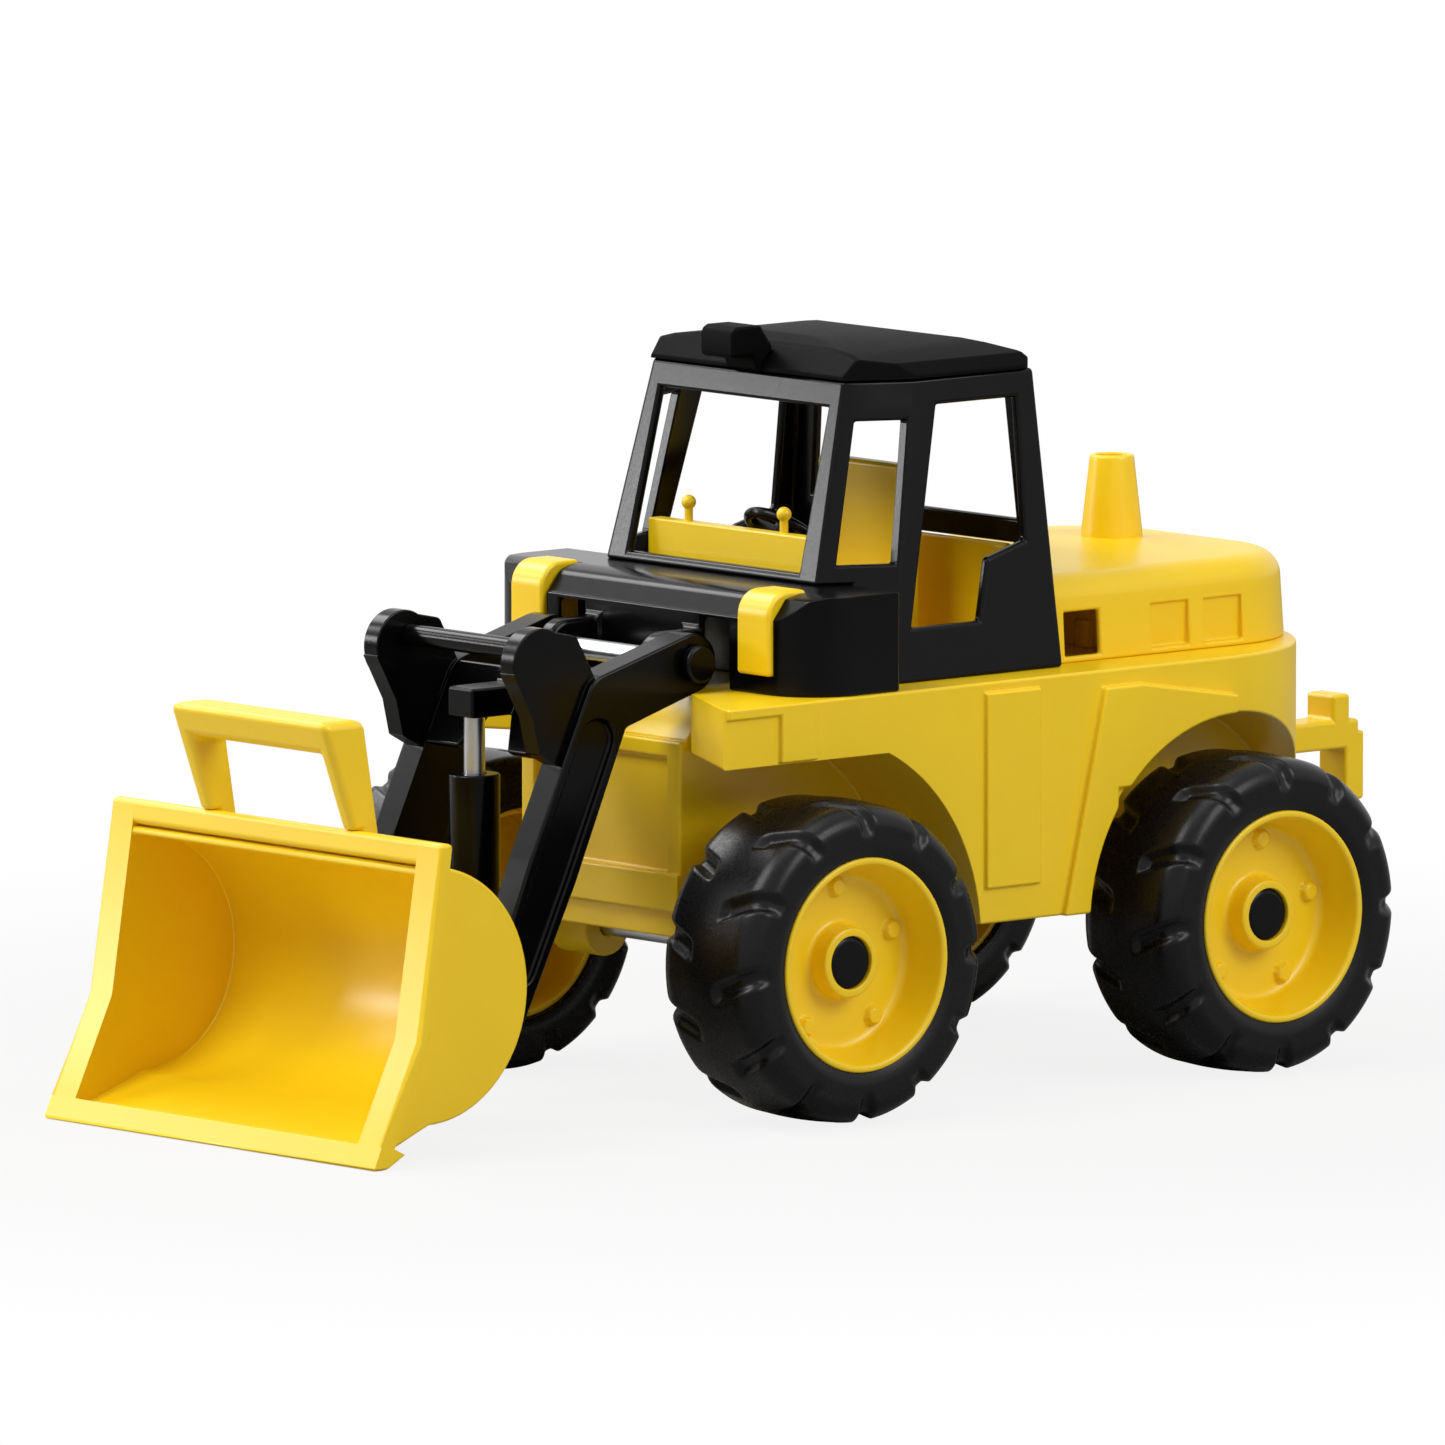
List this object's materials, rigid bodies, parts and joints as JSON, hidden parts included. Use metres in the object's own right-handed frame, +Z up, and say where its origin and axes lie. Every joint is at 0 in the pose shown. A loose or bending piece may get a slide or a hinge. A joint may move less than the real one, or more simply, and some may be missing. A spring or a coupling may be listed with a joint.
{
  "type": "toy front loader",
  "caption": "Toy front loader on free-rolling wheels with an open cab, lifting arms, a tilting bucket with a carrying handle and a tow hitch.",
  "frame": {"origin": "on the ground under the middle of the bounding box", "axes": "+Z up, -Y towards the bucket, +Y towards the tow hitch, +X towards the machine's left side"},
  "size_m": [0.31, 0.72, 0.36],
  "materials": {
    "yellow_plastic": "injection-moulded yellow, glossy",
    "black_plastic": "injection-moulded black, satin gloss",
    "tyre_plastic": "moulded black, satin",
    "steel": "zinc-plated steel"
  },
  "bodies": {
    "machine": {"chassis": "yellow_plastic", "front_hood": "black_plastic", "headlight_left": "yellow_plastic", "headlight_right": "yellow_plastic", "cab_frame": "black_plastic", "cab_roof": "black_plastic", "roof_lamp": "black_plastic", "cab_interior": "yellow_plastic", "steering_column": "black_plastic", "rear_hood": "yellow_plastic", "exhaust_stack": "yellow_plastic", "tow_hitch": "yellow_plastic", "front_axle": "steel", "rear_axle": "steel", "axle_clips": "steel", "body_screws": "steel", "lift_pin": "steel", "lift_pin_caps": "black_plastic"},
    "steering_wheel": {"steering_wheel": "black_plastic"},
    "arms": {"lift_arm_left": "black_plastic", "lift_arm_right": "black_plastic", "arm_bridge": "black_plastic", "grab_bar": "black_plastic", "tilt_rod": "steel", "bucket_pin": "steel", "bucket_pin_caps": "black_plastic"},
    "tilt_cylinder": {"tilt_barrel": "black_plastic", "tilt_pin": "steel"},
    "bucket": {"bucket": "yellow_plastic", "bucket_handle": "yellow_plastic"},
    "wheel_front_left": {"tyre_front_left": "tyre_plastic", "rim_front_left": "yellow_plastic", "hub_cap_front_left": "black_plastic"},
    "wheel_front_right": {"tyre_front_right": "tyre_plastic", "rim_front_right": "yellow_plastic", "hub_cap_front_right": "black_plastic"},
    "wheel_rear_left": {"tyre_rear_left": "tyre_plastic", "rim_rear_left": "yellow_plastic", "hub_cap_rear_left": "black_plastic"},
    "wheel_rear_right": {"tyre_rear_right": "tyre_plastic", "rim_rear_right": "yellow_plastic", "hub_cap_rear_right": "black_plastic"}
  },
  "joints": [
    {"name": "arm_lift", "type": "hinge", "parent": "machine", "child": "arms", "pos_m": [0, -0.1106, 0.2105], "axis": [-1, 0, 0], "range_deg": [0, 45]},
    {"name": "bucket_tilt", "type": "hinge", "parent": "arms", "child": "bucket", "pos_m": [0, -0.2282, 0.053], "axis": [-1, 0, 0], "range_deg": [-40, 25]},
    {"name": "tilt_slide", "type": "slide", "parent": "arms", "child": "tilt_cylinder", "axis": [0, 0, -1], "range_m": [-0.0245, 0.0155]},
    {"name": "steering_turn", "type": "hinge", "parent": "machine", "child": "steering_wheel", "pos_m": [0, -0.0249, 0.2268], "axis": [0, 0.5736, 0.8192], "continuous": true},
    {"name": "spin_front_left", "type": "hinge", "parent": "machine", "child": "wheel_front_left", "pos_m": [0, -0.0876, 0.0758], "axis": [1, 0, 0], "continuous": true},
    {"name": "spin_front_right", "type": "hinge", "parent": "machine", "child": "wheel_front_right", "pos_m": [0, -0.0876, 0.0758], "axis": [1, 0, 0], "continuous": true},
    {"name": "spin_rear_left", "type": "hinge", "parent": "machine", "child": "wheel_rear_left", "pos_m": [0, 0.1758, 0.0758], "axis": [1, 0, 0], "continuous": true},
    {"name": "spin_rear_right", "type": "hinge", "parent": "machine", "child": "wheel_rear_right", "pos_m": [0, 0.1758, 0.0758], "axis": [1, 0, 0], "continuous": true}
  ],
  "couplings": [
    {"joint": "tilt_slide", "follows": "bucket_tilt", "m_per_rad": 0.0348}
  ]
}
